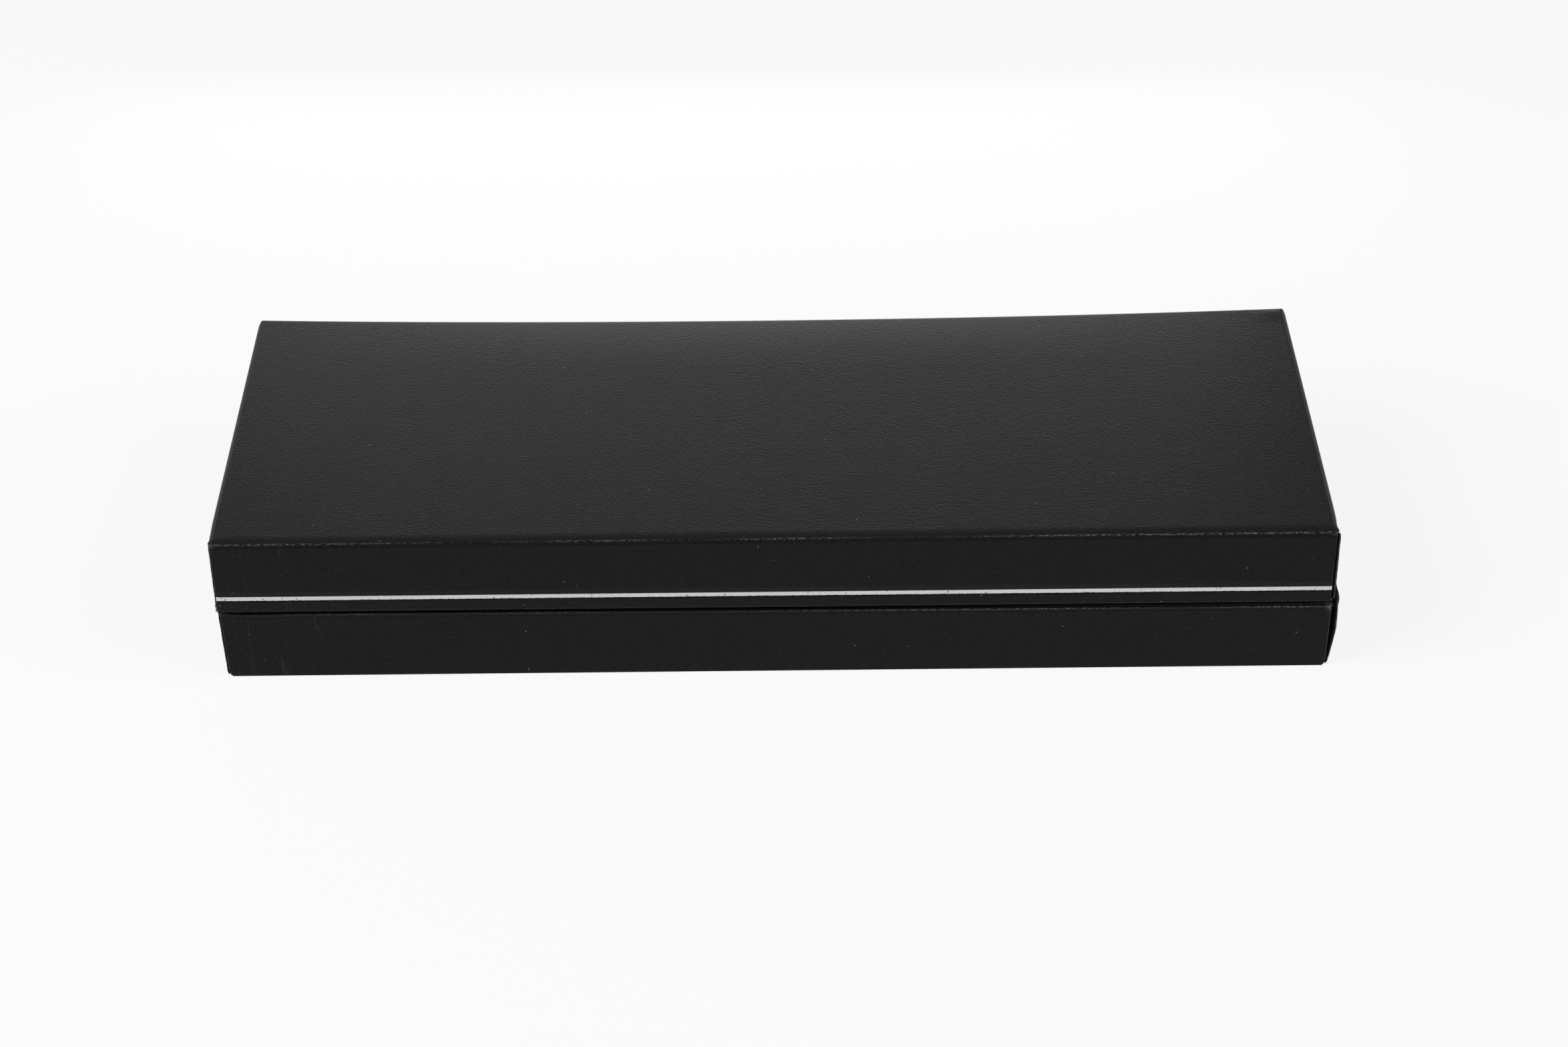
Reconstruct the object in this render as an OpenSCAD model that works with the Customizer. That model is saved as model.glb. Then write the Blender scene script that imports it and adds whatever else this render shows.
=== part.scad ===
// Pen box: a leatherette-covered presentation box for two pens, with a snap hinge along its back.
// Millimetres. X runs along the length, the front faces -Y, Z is up, and the origin is under the middle.

/* [Box] */
// Length over the end covers
box_length = 178; // [165:1:210]
// Depth from the front face to the back face
box_depth = 68; // [62:1:85]
// Height of the parting line above the table
base_height = 12.8; // [12.2:0.1:18]
// Height of the lid above the parting line
lid_height = 13.2; // [12.6:0.1:20]
// Gap between the two covered rims when shut
rim_gap = 0.3; // [0.2:0.05:0.6]
// How far each end of the base leans in from its rim to its bottom
end_lean = 0.35; // [0.1:0.05:0.6]

/* [Moulded shells] */
// Wall thickness of both shells
wall_t = 1.8; // [1.5:0.1:2.4]
// Thickness of the lid's top and of the base's floor
panel_t = 1.8; // [1.4:0.1:2.2]
// Outside radius of the lid's back edge
back_edge_r = 2.2; // [1.4:0.1:3]
// Outside radius of the lid's front edge
front_edge_r = 0.6; // [0.6:0.1:1.2]
// Outside radius of the lid's two end edges
end_edge_r = 0.9; // [0.6:0.1:1.4]
// Outside radius of the base's bottom edges
bottom_edge_r = 0.8; // [0.6:0.1:1.4]

/* [Leatherette] */
// Thickness of the leatherette on its paper backing
wrap_t = 0.45; // [0.3:0.05:0.55]
// Height of the edge that is turned in inside the rims
turn_in = 4; // [3:0.5:6]
// Width of the edge that is turned under the base
turn_under = 8; // [5:1:12]
// Thickness of the end covers
cover_t = 0.45; // [0.3:0.05:0.6]
// Margin between an end cover's cut edge and the folded edges round it
cover_margin = 0.8; // [0.5:0.1:2]
// Radius of an end cover's cut corners
cover_corner_r = 1; // [0.6:0.1:1.5]
// Thickness of the sheet that closes the bottom
sheet_t = 0.25; // [0.2:0.05:0.6]
// Margin between the bottom sheet and the base's edges
sheet_margin = 1.5; // [1:0.5:4]

/* [Silver line] */
// Height of the hot-stamped line
line_h = 0.85; // [0.5:0.05:2]
// Height of the line's lower edge above the lid's rim
line_rise = 2.1; // [1:0.1:4]
// Depth that the stamp presses into the leatherette
line_depth = 0.1; // [0.06:0.01:0.15]
// Thickness of the foil
foil_t = 0.08; // [0.04:0.01:0.1]

/* [Snap hinge] */
// Angle that the lid opens to
open_angle = 100; // [90:1:105]
// Diameter of the hinge pin
pin_d = 1.4; // [1.2:0.1:1.6]
// Radial clearance of the pin in the knuckles
pin_clear = 0.05; // [0.02:0.01:0.08]
// Height of the pin's closed ends
pin_head_h = 0.3; // [0.2:0.1:0.6]
// Sheet thickness of the leaves
leaf_t = 0.5; // [0.4:0.05:0.6]
// Height of a leaf from the hinge axis
leaf_h = 8.2; // [7.6:0.1:8.8]
// Number of knuckles, an odd number
knuckles = 15; // [9:2:21]
// Gap between neighbouring knuckles
knuckle_gap = 0.25; // [0.15:0.05:0.4]
// Gap between a knuckle and the other leaf's edge
relief = 0.3; // [0.25:0.05:0.5]
// Spare room between the two back edges at the open stop
stop_clear = 0.25; // [0.15:0.05:0.5]
// Distance of the bow springs from the middle
spring_x = 44; // [30:1:60]
// Width of a bow spring
spring_w = 7; // [5:0.5:10]
// Strip thickness of a bow spring
spring_t = 0.35; // [0.25:0.05:0.45]
// Bend radius of a bow spring
spring_r = 5; // [4.8:0.1:6]
// Height of a spring's bow above and below the axis
spring_reach = 4.4; // [3.6:0.1:4.6]
// Distance of the leaf rivets from the middle, the inner pair
rivet_x_inner = 20; // [12:1:25]
// Distance of the leaf rivets from the middle, the outer pair
rivet_x_outer = 74; // [65:1:76]
// Height of the rivets from the hinge axis
rivet_z = 6.2; // [5.8:0.1:6.4]
// Shank diameter of the rivets
rivet_d = 1.4; // [1:0.1:1.8]
// Depth of a rivet in the shell's wall
rivet_depth = 1.2; // [0.8:0.1:1.4]
// Head diameter of the rivets
rivet_head_d = 2.6; // [2.2:0.1:3]
// Head height of the rivets
rivet_head_h = 0.5; // [0.4:0.1:0.8]

/* [Collar and pen bed] */
// Thickness of the collar strips
collar_t = 1.2; // [0.8:0.1:1.6]
// Height of the collar above the parting line
collar_rise = 2.5; // [1.5:0.1:3.5]
// Clearance between the collar and what slides over it
slide_clear = 0.3; // [0.25:0.05:0.6]
// Clearance round the pen bed
bed_clear = 0.3; // [0.2:0.05:0.6]
// Depth of the bed's face below the parting line
bed_drop = 0.8; // [0.5:0.1:2]
// Sheet thickness of the flocked bed
bed_t = 0.8; // [0.6:0.1:1]
// Radius of the bed's corners
bed_corner_r = 2.5; // [2:0.1:4]
// Radius of the pen grooves
groove_r = 6.8; // [5.5:0.1:7.2]
// Length of the pen grooves
groove_l = 150; // [140:1:156]
// Spacing of the two grooves
groove_pitch = 25; // [20:1:28]
// Radius of the finger scoop
scoop_r = 10.5; // [9:0.5:11]
// Height of the scoop's centre above the bed's face
scoop_lift = 3.2; // [2.8:0.1:4]

/* [Lid lining] */
// Thickness of the liner card
board_t = 1; // [0.6:0.1:1.5]
// Gap between the liner card and the lid's walls
board_gap = 0.8; // [0.5:0.1:2]
// Thickness of the foam
foam_t = 2.6; // [2:0.1:4]
// Rise of the foam's crown in its middle
crown = 0.9; // [0.5:0.1:1.5]
// Thickness of the satin
satin_t = 0.3; // [0.2:0.05:0.5]
// Margin of the foam inside the liner card
pad_margin = 1.2; // [0.8:0.1:3]
// Radius of the pad's corners
pad_corner_r = 3; // [2:0.5:6]

/* [Hidden] */
$fn = 64;
over = 1;            // how far a cutter runs past what it cuts
fit = 0.02;          // radial room of a rivet in its hole
least_r = 0.1;       // smallest radius left inside a covered edge
swell_steps = 6;     // straight runs on each side of the pad's crown
swell_power = 3;     // how late the crown falls away towards its edges

// Faces of the box, from the outside in
end_x = box_length / 2;
wrap_x = end_x - cover_t;
shell_x = wrap_x - wrap_t;
cavity_x = shell_x - wall_t;
front_y = -box_depth / 2;
back_y = box_depth / 2;
cavity_y = back_y - wrap_t - wall_t;
top_z = base_height + lid_height;
ceiling_z = top_z - wrap_t - panel_t;
floor_z = sheet_t + wrap_t + panel_t;
base_rim_z = base_height - rim_gap / 2;
lid_rim_z = base_height + rim_gap / 2;

// Hinge: the leaves lie on the back walls' inner faces, tangent to the barrel
bore_r = pin_d / 2 + pin_clear;
barrel_r = bore_r + leaf_t;
hinge_y = cavity_y + bore_r;
hinge_z = base_height;
hinge_inset = back_y - hinge_y;
slot_half = max(hinge_inset * tan(open_angle / 2), barrel_r) + stop_clear;

// Collar: it stands inside the turned-in edges and clears them
collar_front_y = -cavity_y + wrap_t + slide_clear;
collar_x = cavity_x - wrap_t - slide_clear;
collar_back_y = cavity_y - slide_clear;
collar_top_z = base_height + collar_rise;

// Barrel and leaves, between the collar's ends
hinge_half = collar_x - collar_t - slide_clear;
knuckle_pitch = 2 * hinge_half / knuckles;

// Bow springs: an arc between two feet that lie on the leaves
foot_y = -barrel_r - spring_t / 2;
bow_centre_y = foot_y + sqrt(spring_r * spring_r - spring_reach * spring_reach);
bow_front_y = bow_centre_y - spring_r - spring_t / 2;
foot_end = leaf_h - relief;

// Pen bed
bed_x = collar_x - collar_t - bed_clear;
bed_front_y = collar_front_y + collar_t + bed_clear;
bed_back_y = hinge_y + bow_front_y - 2 * bed_clear;
bed_mid_y = (bed_front_y + bed_back_y) / 2;
bed_top_z = base_height - bed_drop;

// Lid lining
board_x = cavity_x - board_gap;
board_front_y = -cavity_y + board_gap;
board_back_y = bed_back_y;
board_mid_y = (board_front_y + board_back_y) / 2;
board_z = ceiling_z - board_t;
pad_half_x = board_x - pad_margin;
pad_half_y = (board_back_y - board_front_y) / 2 - pad_margin;

leather_black = "#2b2a2c";
shell_black = "#1d1d1f";
card_black = "#242426";
flock_black = "#1a1a1d";
steel = "#b4b4b0";
spring_steel = "#8f9094";
silver = "#d4d4d6";
satin_ivory = "#e6e1d4";
foam_white = "#e9e8e2";
card_grey = "#8d8a84";

function kept_r(r, inset) = max(r - inset, least_r);

// Draws a Y-Z outline along the length, or an X-Z outline along the depth
module along_length(l) {
    rotate([90, 0, 90])
        linear_extrude(l, center = true)
            children();
}

module along_depth(d) {
    rotate([90, 0, 0])
        linear_extrude(d, center = true)
            children();
}

// What lies outside a quarter circle, to round a corner off towards +u +v
module corner_waste(r) {
    difference() {
        square(r + over);
        circle(r);
    }
}

// Outline with its two upper corners rounded
module dome_outline(u0, u1, v0, v1, r0, r1) {
    difference() {
        translate([u0, v0])
            square([u1 - u0, v1 - v0]);
        translate([u0 + r0, v1 - r0])
            mirror([1, 0])
                corner_waste(r0);
        translate([u1 - r1, v1 - r1])
            corner_waste(r1);
    }
}

// Outline with four equal round corners
module card_outline(u0, u1, v0, v1, r) {
    difference() {
        translate([u0, v0])
            square([u1 - u0, v1 - v0]);
        for (u = [0, 1], v = [0, 1])
            translate([u ? u1 - r : u0 + r, v ? v1 - r : v0 + r])
                mirror([u ? 0 : 1, 0])
                    mirror([0, v ? 0 : 1])
                        corner_waste(r);
    }
}

// The slot along the back that lets the lid swing, grown by the given edge
module back_slot(edge) {
    translate([-end_x - over, cavity_y, hinge_z - slot_half - edge])
        cube([box_length + 2 * over, hinge_inset + bore_r + over, 2 * (slot_half + edge)]);
}

// The open inside of a shell between its walls, drawn in by the given edge; it runs out at the back if asked
module inside(edge, z0, z1, back) {
    translate([-cavity_x + edge, -cavity_y + edge, z0])
        cube([2 * (cavity_x - edge), back - (-cavity_y + edge), z1 - z0]);
}

// Holes in a back wall for one leaf's rivets, side +1 up into the lid, -1 down into the base
module rivet_places(side) {
    for (x = [-rivet_x_outer, -rivet_x_inner, rivet_x_inner, rivet_x_outer])
        translate([x, cavity_y, hinge_z + side * rivet_z])
            children();
}

module spring_places(side) {
    for (x = [-spring_x, spring_x])
        translate([x, cavity_y, hinge_z + side * rivet_z])
            children();
}

module rivet_hole(depth, front) {
    translate([0, -front, 0])
        rotate([-90, 0, 0])
            cylinder(d = rivet_d + 2 * fit, h = front + depth);
}

module rivet(seat) {
    translate([0, -seat, 0])
        rotate([-90, 0, 0])
            cylinder(d = rivet_d, h = seat + rivet_depth);
    translate([0, -seat, 0])
        rotate([90, 0, 0])
            intersection() {
                cylinder(d = rivet_head_d, h = rivet_head_h);
                translate([0, 0, rivet_head_h - rivet_head_d])
                    sphere(d = 2 * rivet_head_d);
            }
}

// Lid: its outside drawn in by inset, from the given rim up
module lid_form(inset, rim) {
    intersection() {
        along_length(2 * (wrap_x - inset))
            dome_outline(front_y + inset, back_y - inset, rim, top_z - inset,
                kept_r(front_edge_r, inset), kept_r(back_edge_r, inset));
        along_depth(box_depth)
            dome_outline(-wrap_x + inset, wrap_x - inset, rim, top_z - inset,
                kept_r(end_edge_r, inset), kept_r(end_edge_r, inset));
    }
}

// Base: the same, upside down, with its ends leaning in to the bottom
module base_end_outline(inset, bottom, rim) {
    polygon([
        [-wrap_x + inset, rim],
        [wrap_x - inset, rim],
        [wrap_x - inset - end_lean, bottom],
        [-wrap_x + inset + end_lean, bottom]
    ]);
}

module base_form(inset, bottom, rim) {
    intersection() {
        along_length(box_length)
            mirror([0, 1])
                dome_outline(front_y + inset, back_y - inset, -rim, -bottom,
                    kept_r(bottom_edge_r, inset), kept_r(bottom_edge_r, inset));
        along_depth(box_depth)
            base_end_outline(inset, bottom, rim);
    }
}

// What the leatherette is glued round: the lid or base under its covering, with the slot cut
module lid_core() {
    difference() {
        lid_form(wrap_t, lid_rim_z + wrap_t);
        back_slot(wrap_t);
    }
}

module base_core() {
    difference() {
        base_form(wrap_t, sheet_t + wrap_t, base_rim_z - wrap_t);
        back_slot(wrap_t);
    }
}

module lid_shell() {
    color(shell_black)
        difference() {
            lid_core();
            inside(0, 0, ceiling_z, cavity_y);
            rivet_places(1)
                rivet_hole(rivet_depth, over);
            spring_places(1)
                rivet_hole(rivet_depth, over);
        }
}

module lid_wrap() {
    color(leather_black) {
        difference() {
            lid_form(0, lid_rim_z);
            lid_core();
            inside(0, 0, lid_rim_z + 2 * wrap_t, cavity_y + over);
            back_slot(0);
            line_groove(line_depth);
        }
        difference() {
            inside(0, lid_rim_z, lid_rim_z + turn_in, cavity_y);
            inside(wrap_t, 0, top_z, cavity_y + over);
        }
    }
}

// The stamped line lies across the whole front
module line_groove(depth) {
    translate([-end_x, front_y - over, lid_rim_z + line_rise])
        cube([box_length, over + depth, line_h]);
}

module foil_stripe() {
    color(silver)
        translate([-wrap_x, front_y + line_depth - foil_t, lid_rim_z + line_rise])
            cube([2 * wrap_x, foil_t, line_h]);
}

// End covers are cut smaller than the ends, and their corners are rounded
module lid_end_cover(side) {
    color(leather_black)
        difference() {
            intersection() {
                translate([side * (wrap_x + cover_t / 2), 0, 0])
                    along_length(cover_t)
                        card_outline(front_y + cover_margin, back_y - cover_margin,
                            lid_rim_z + rim_gap, top_z - cover_margin, cover_corner_r);
                lid_cover_back();
            }
            back_slot(rim_gap);
        }
}

module lid_cover_back() {
    along_length(box_length + 2 * over)
        dome_outline(front_y, back_y - cover_margin, 0, top_z - cover_margin,
            least_r, back_edge_r);
}

module base_end_cover(side) {
    color(leather_black)
        difference() {
            intersection() {
                along_depth(box_depth)
                    cover_slope(side);
                along_length(box_length + 2 * over)
                    card_outline(front_y + cover_margin, back_y - cover_margin,
                        sheet_t + cover_margin, base_rim_z - rim_gap, cover_corner_r);
            }
            back_slot(rim_gap);
        }
}

module cover_slope(side) {
    polygon([
        [side * wrap_x, base_rim_z],
        [side * (wrap_x + cover_t), base_rim_z],
        [side * (wrap_x + cover_t - end_lean), sheet_t],
        [side * (wrap_x - end_lean), sheet_t]
    ]);
}

module lid_end_cover_left() {
    lid_end_cover(-1);
}

module lid_end_cover_right() {
    lid_end_cover(1);
}

module base_end_cover_left() {
    base_end_cover(-1);
}

module base_end_cover_right() {
    base_end_cover(1);
}

// A flat outline under the base, drawn in from its edges
module under_outline(inset) {
    half_x = wrap_x - end_lean - inset;
    half_y = box_depth / 2 - inset;
    card_outline(-half_x, half_x, -half_y, half_y, cover_corner_r);
}

module base_shell() {
    color(shell_black)
        difference() {
            union() {
                base_core();
                translate([0, 0, sheet_t])
                    linear_extrude(wrap_t + panel_t / 2)
                        under_outline(turn_under + slide_clear);
            }
            inside(0, floor_z, top_z, cavity_y);
            rivet_places(-1)
                rivet_hole(rivet_depth, over);
            spring_places(-1)
                rivet_hole(rivet_depth, over);
        }
}

module base_wrap() {
    color(leather_black) {
        difference() {
            base_form(0, sheet_t, base_rim_z);
            base_core();
            inside(0, base_rim_z - 2 * wrap_t, top_z, cavity_y + over);
            back_slot(0);
            translate([0, 0, -over])
                linear_extrude(sheet_t + 2 * wrap_t + over)
                    under_outline(turn_under);
        }
        difference() {
            inside(0, base_rim_z - turn_in, base_rim_z, cavity_y);
            inside(wrap_t, 0, top_z, cavity_y + over);
        }
    }
}

module base_bottom_sheet() {
    color(card_black)
        linear_extrude(sheet_t)
            under_outline(sheet_margin);
}

// Collar strips stand on the floor, and the side strips butt against the front one
module collar_front() {
    color(card_black)
        translate([-collar_x, collar_front_y, floor_z])
            cube([2 * collar_x, collar_t, collar_top_z - floor_z]);
}

module collar_side(side) {
    color(card_black)
        translate([side > 0 ? collar_x - collar_t : -collar_x, collar_front_y + collar_t, floor_z])
            cube([collar_t, collar_back_y - collar_front_y - collar_t, collar_top_z - floor_z]);
}

module collar_left() {
    collar_side(-1);
}

module collar_right() {
    collar_side(1);
}

// A rod with round ends along X, grown by the given sheet
module round_rod(r, l, grow) {
    rotate([0, 90, 0])
        rotate_extrude()
            intersection() {
                translate([0, -l])
                    square([l, 2 * l]);
                union() {
                    translate([-r - grow, r - l / 2])
                        square([2 * (r + grow), l - 2 * r]);
                    for (end = [-1, 1])
                        translate([0, end * (l / 2 - r)])
                            circle(r + grow);
                }
            }
}

// Hollows pressed into the bed: two pen grooves and a scoop across them for the fingers
module bed_hollows(grow) {
    for (side = [-1, 1])
        translate([0, bed_mid_y + side * groove_pitch / 2, bed_top_z])
            round_rod(groove_r, groove_l, grow);
    translate([0, bed_mid_y, bed_top_z + scoop_lift])
        rotate([0, 0, 90])
            round_rod(scoop_r, groove_pitch + scoop_r, grow);
}

module bed_block(edge, top) {
    translate([0, 0, floor_z])
        linear_extrude(top - floor_z)
            card_outline(-bed_x + edge, bed_x - edge, bed_front_y + edge, bed_back_y - edge, bed_corner_r - edge);
}

// Thin formed sheet: a flat face, a skirt down to the floor and the pressed hollows
module pen_bed() {
    color(flock_black)
        difference() {
            union() {
                difference() {
                    bed_block(0, bed_top_z);
                    translate([0, 0, -over])
                        bed_block(bed_t, bed_top_z - bed_t + over);
                }
                intersection() {
                    bed_hollows(bed_t);
                    bed_block(bed_t / 2, bed_top_z - bed_t / 2);
                }
            }
            bed_hollows(0);
        }
}

// One leaf: a plate on the back wall and every second knuckle; side +1 is the lid's, -1 the base's
module leaf(side, first) {
    color(steel)
        difference() {
            union() {
                translate([-hinge_half, cavity_y - leaf_t, hinge_z + (side > 0 ? barrel_r + relief : -leaf_h)])
                    cube([2 * hinge_half, leaf_t, leaf_h - barrel_r - relief]);
                for (i = [first : 2 : knuckles - 1])
                    knuckle(side, -hinge_half + i * knuckle_pitch + knuckle_gap / 2);
            }
            translate([-hinge_half - over, hinge_y, hinge_z])
                rotate([0, 90, 0])
                    cylinder(r = bore_r, h = 2 * (hinge_half + over));
            rivet_places(side)
                rivet_hole(over, leaf_t + over);
            spring_places(side)
                rivet_hole(over, leaf_t + over);
        }
}

module knuckle(side, x) {
    width = knuckle_pitch - knuckle_gap;
    strap = barrel_r + 2 * relief;
    translate([x, hinge_y, hinge_z])
        rotate([0, 90, 0])
            cylinder(r = barrel_r, h = width);
    translate([x, cavity_y - leaf_t, hinge_z - (side > 0 ? 0 : strap)])
        cube([width, leaf_t, strap]);
}

module hinge_leaf_base() {
    leaf(-1, 0);
}

module hinge_leaf_lid() {
    leaf(1, 1);
}

module hinge_pin() {
    color(steel)
        translate([0, hinge_y, hinge_z])
            rotate([0, 90, 0]) {
                cylinder(d = pin_d, h = 2 * hinge_half, center = true);
                for (end = [0, 1])
                    mirror([0, 0, end])
                        translate([0, 0, hinge_half - knuckle_gap / 2])
                            cylinder(r = bore_r + leaf_t / 2, h = pin_head_h);
            }
}

// Bow spring: a bent strip with one foot on each leaf
module bow() {
    intersection() {
        translate([0, bow_centre_y, 0])
            rotate([0, 90, 0])
                difference() {
                    cylinder(r = spring_r + spring_t / 2, h = spring_w, center = true);
                    cylinder(r = spring_r - spring_t / 2, h = spring_w + over, center = true);
                }
        translate([-spring_w, -barrel_r - 2 * spring_r, -spring_reach])
            cube([2 * spring_w, 2 * spring_r, 2 * spring_reach]);
    }
}

module bow_spring(x) {
    color(spring_steel)
        difference() {
            translate([x, hinge_y, hinge_z]) {
                bow();
                for (side = [0, 1])
                    mirror([0, 0, side])
                        translate([-spring_w / 2, -barrel_r - spring_t, spring_reach - spring_t])
                            cube([spring_w, spring_t, foot_end - spring_reach + spring_t]);
            }
            for (side = [-1, 1])
                spring_places(side)
                    rivet_hole(over, leaf_t + spring_t + over);
        }
}

module bow_spring_left() {
    bow_spring(-spring_x);
}

module bow_spring_right() {
    bow_spring(spring_x);
}

module hinge_rivets(side) {
    color(steel) {
        rivet_places(side)
            rivet(leaf_t);
        spring_places(side)
            rivet(leaf_t + spring_t);
    }
}

module base_hinge_rivets() {
    hinge_rivets(-1);
}

module lid_hinge_rivets() {
    hinge_rivets(1);
}

module lid_liner_board() {
    color(card_grey)
        translate([0, 0, board_z])
            linear_extrude(board_t)
                card_outline(-board_x, board_x, board_front_y, board_back_y, pad_corner_r);
}

// The pad's form below the card: round corners in plan and a face that swells towards its middle
module swell_outline(half, face_z) {
    polygon([
        [half, board_z],
        [-half, board_z],
        for (i = [-swell_steps : swell_steps])
            let (share = i / swell_steps)
            [half * share, face_z + crown * pow(abs(share), swell_power)]
    ]);
}

module pad_form(inset) {
    half_x = pad_half_x - inset;
    half_y = pad_half_y - inset;
    face_z = board_z - foam_t - satin_t + inset;
    translate([0, board_mid_y, 0])
        intersection() {
            translate([0, 0, face_z])
                linear_extrude(board_z - face_z)
                    card_outline(-half_x, half_x, -half_y, half_y, pad_corner_r - inset);
            along_length(2 * half_x + over)
                swell_outline(half_y, face_z);
            along_depth(2 * half_y + over)
                swell_outline(half_x, face_z);
        }
}

module lid_pad_foam() {
    color(foam_white)
        pad_form(satin_t);
}

module lid_pad_satin() {
    color(satin_ivory)
        difference() {
            pad_form(0);
            pad_form(satin_t);
        }
}

base_shell();
base_wrap();
base_end_cover_left();
base_end_cover_right();
base_bottom_sheet();
collar_front();
collar_left();
collar_right();
pen_bed();
hinge_leaf_base();
hinge_pin();
bow_spring_left();
bow_spring_right();
base_hinge_rivets();
lid_shell();
lid_wrap();
lid_end_cover_left();
lid_end_cover_right();
foil_stripe();
lid_liner_board();
lid_pad_foam();
lid_pad_satin();
hinge_leaf_lid();
lid_hinge_rivets();
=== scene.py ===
import math

import bmesh
import bpy
import numpy as np
from mathutils import Matrix, Vector


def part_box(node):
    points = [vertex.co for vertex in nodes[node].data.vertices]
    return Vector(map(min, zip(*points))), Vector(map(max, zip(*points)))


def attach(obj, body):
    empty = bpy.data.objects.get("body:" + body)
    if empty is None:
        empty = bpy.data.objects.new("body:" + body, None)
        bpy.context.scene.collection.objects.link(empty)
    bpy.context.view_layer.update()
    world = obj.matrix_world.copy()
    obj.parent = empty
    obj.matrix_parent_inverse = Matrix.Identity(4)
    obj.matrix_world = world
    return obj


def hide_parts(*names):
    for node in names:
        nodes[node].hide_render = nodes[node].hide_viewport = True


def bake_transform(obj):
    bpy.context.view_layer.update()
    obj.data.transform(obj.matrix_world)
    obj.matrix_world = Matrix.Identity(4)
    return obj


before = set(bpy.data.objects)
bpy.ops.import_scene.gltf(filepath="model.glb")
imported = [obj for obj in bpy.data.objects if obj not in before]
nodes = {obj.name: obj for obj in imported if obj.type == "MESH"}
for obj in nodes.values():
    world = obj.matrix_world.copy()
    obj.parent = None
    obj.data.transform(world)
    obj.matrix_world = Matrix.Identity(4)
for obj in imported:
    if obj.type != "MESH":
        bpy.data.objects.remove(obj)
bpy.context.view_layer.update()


# Base shell: a shallow tray of black polystyrene, injection moulded in one piece.
# Leatherette hides its outside, and its walls show only inside, above the turned-in edge.
mm = 0.001


def linear(code):
    """The linear RGBA of an sRGB hex colour."""
    parts = [int(code[i:i + 2], 16) / 255 for i in (1, 3, 5)]
    return [c / 12.92 if c <= 0.04045 else ((c + 0.055) / 1.055) ** 2.4 for c in parts] + [1.0]


def started(name):
    """A new material with no nodes yet."""
    material = bpy.data.materials.new(name)
    material.use_nodes = True
    material.node_tree.nodes.clear()
    return material


def add(material, kind, links=None, **settings):
    """Adds a shader node with its settings, and sets or links its inputs."""
    node = material.node_tree.nodes.new("ShaderNode" + kind)
    for name, value in settings.items():
        setattr(node, name, value)
    for key, value in (links or {}).items():
        if isinstance(value, bpy.types.NodeSocket):
            material.node_tree.links.new(value, node.inputs[key])
        else:
            node.inputs[key].default_value = value
    return node


def dress(material, *names):
    """Gives CAD nodes this material."""
    for name in names:
        nodes[name].data.materials.clear()
        nodes[name].data.materials.append(material)


# Moulded polystyrene: the tool's spark-eroded grain, about 0.3 mm, leaves a dull even black.
polystyrene = started("moulded polystyrene")
place = add(polystyrene, "TexCoord").outputs["Object"]
pits = add(polystyrene, "TexNoise", {"Vector": place, "Scale": 1 / (0.3 * mm), "Detail": 2.0}).outputs[0]
flow = add(polystyrene, "TexNoise", {"Vector": place, "Scale": 1 / (14 * mm), "Detail": 2.0}).outputs[0]
tint = add(polystyrene, "Mix", {"Factor": flow, 6: linear("#171718"), 7: linear("#202022")}, data_type="RGBA")
dull = add(polystyrene, "MapRange", {"Value": pits, "To Min": 0.5, "To Max": 0.66})
grit = add(polystyrene, "Bump", {"Height": pits, "Strength": 0.5, "Distance": 0.02 * mm})
skin = add(polystyrene, "BsdfPrincipled", {
    "Base Color": tint.outputs[2], "Roughness": dull.outputs[0], "Normal": grit.outputs[0], "IOR": 1.59})
add(polystyrene, "OutputMaterial", {"Surface": skin.outputs[0]})
dress(polystyrene, "base_shell", "lid_shell")


# Snap hinge: two stamped leaves whose knuckles interleave on one pin, riveted to the back walls.
# The leaves, pin and rivets are nickel-plated steel, drawn through the plating bath in strips.
# Nickel plate over rolled strip: warm grey, with faint rolling lines along the length, 0.2 mm apart.
nickel = started("nickel-plated steel")
place = add(nickel, "TexCoord").outputs["Object"]
rolled = add(nickel, "Mapping", {"Vector": place, "Scale": (1 / (9 * mm), 1 / (0.2 * mm), 1 / (0.2 * mm))})
lines = add(nickel, "TexNoise", {"Vector": rolled.outputs[0], "Scale": 1.0, "Detail": 3.0}).outputs[0]
stain = add(nickel, "TexNoise", {"Vector": place, "Scale": 1 / (5 * mm), "Detail": 3.0}).outputs[0]
tint = add(nickel, "Mix", {"Factor": stain, 6: linear("#b3b1ab"), 7: linear("#cfcdc8")}, data_type="RGBA")
dull = add(nickel, "MapRange", {"Value": lines, "To Min": 0.24, "To Max": 0.42})
drawn = add(nickel, "Bump", {"Height": lines, "Strength": 0.35, "Distance": 0.01 * mm})
skin = add(nickel, "BsdfPrincipled", {
    "Base Color": tint.outputs[2], "Roughness": dull.outputs[0], "Normal": drawn.outputs[0], "Metallic": 1.0})
add(nickel, "OutputMaterial", {"Surface": skin.outputs[0]})
dress(nickel, "hinge_leaf_base", "hinge_leaf_lid", "hinge_pin", "base_hinge_rivets", "lid_hinge_rivets")


# Bow springs: two strips of hardened spring steel, bent to a bow, with a foot riveted to each leaf.
# In the box they flip past the hinge line as the lid swings and bend between base and lid; here each is one fixed
# bow, on neither body.
hinge_y, hinge_z = 32.5, 12.8
spring_x, spring_w, spring_t, spring_r, spring_reach = 44, 7.0, 0.35, 5.0, 4.4
foot_end, leaf_face = 7.9, -1.25
foot_y = leaf_face - spring_t / 2
bow_y = foot_y + math.sqrt(spring_r ** 2 - spring_reach ** 2)


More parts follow.
